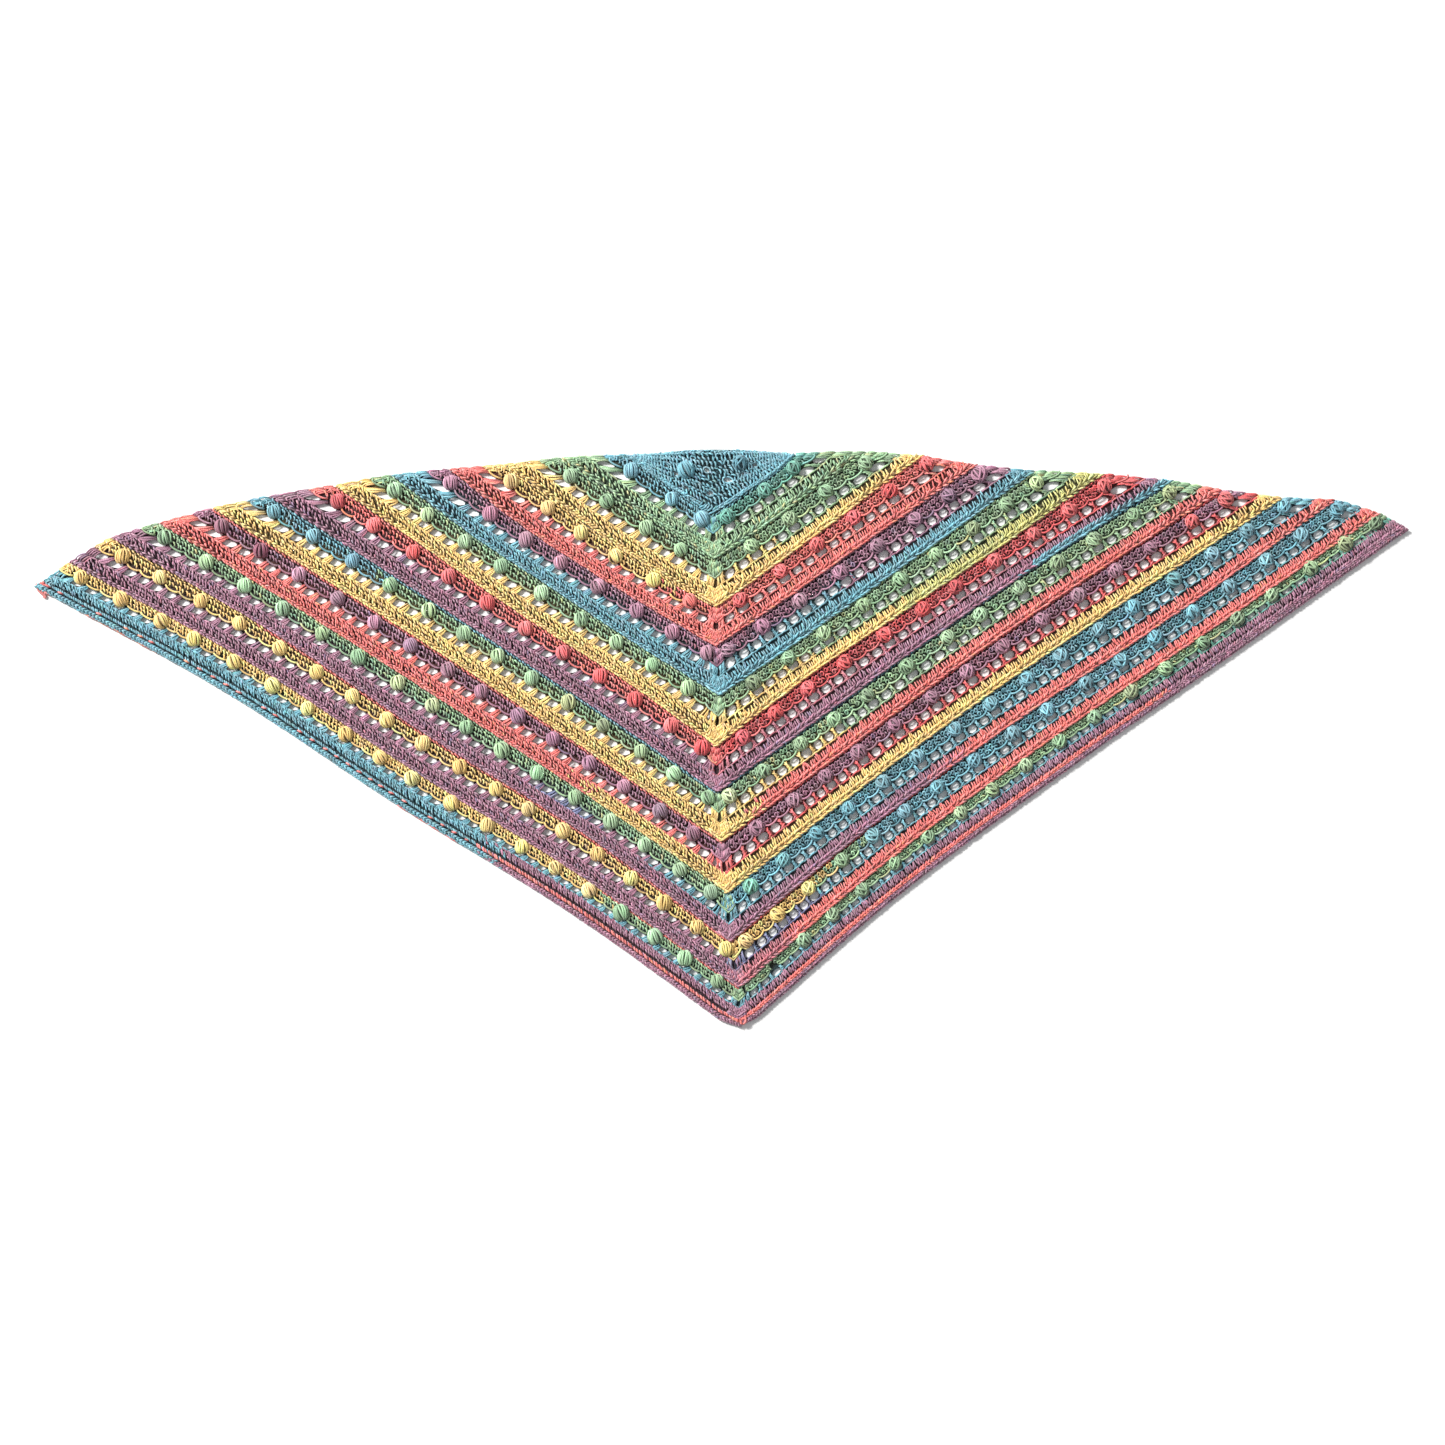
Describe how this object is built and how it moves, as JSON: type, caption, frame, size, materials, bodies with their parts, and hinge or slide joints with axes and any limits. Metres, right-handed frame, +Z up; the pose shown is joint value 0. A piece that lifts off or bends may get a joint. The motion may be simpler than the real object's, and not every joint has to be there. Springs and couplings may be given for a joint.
{
  "type": "crochet shawl",
  "caption": "Wide V-shaped cotton crochet shawl laid flat, with bobble rows, open mesh and raised chain lines in changing colours.",
  "frame": {"origin": "middle of the laid-out shawl's rectangle, on the surface it lies on", "axes": "+X towards the right tip as laid, +Y from the lower point towards the neck edge, +Z up out of the front of the cloth"},
  "size_m": [1.4382, 0.6066, 0.0076],
  "materials": {
    "teal_cotton": "matt plied cotton crochet yarn with a soft sheen",
    "green_cotton": "matt plied cotton crochet yarn with a soft sheen",
    "yellow_cotton": "matt plied cotton crochet yarn with a soft sheen",
    "coral_cotton": "matt plied cotton crochet yarn with a soft sheen",
    "plum_cotton": "matt plied cotton crochet yarn with a soft sheen"
  },
  "bodies": {
    "root": {"start_panel": "teal_cotton", "band_02": "green_cotton", "band_03": "yellow_cotton", "band_04": "coral_cotton", "band_05": "teal_cotton", "band_06": "yellow_cotton", "band_07": "plum_cotton", "band_08": "green_cotton", "band_09": "coral_cotton", "band_10": "plum_cotton", "band_11": "plum_cotton", "band_12": "teal_cotton", "edging": "plum_cotton"}
  },
  "joints": []
}
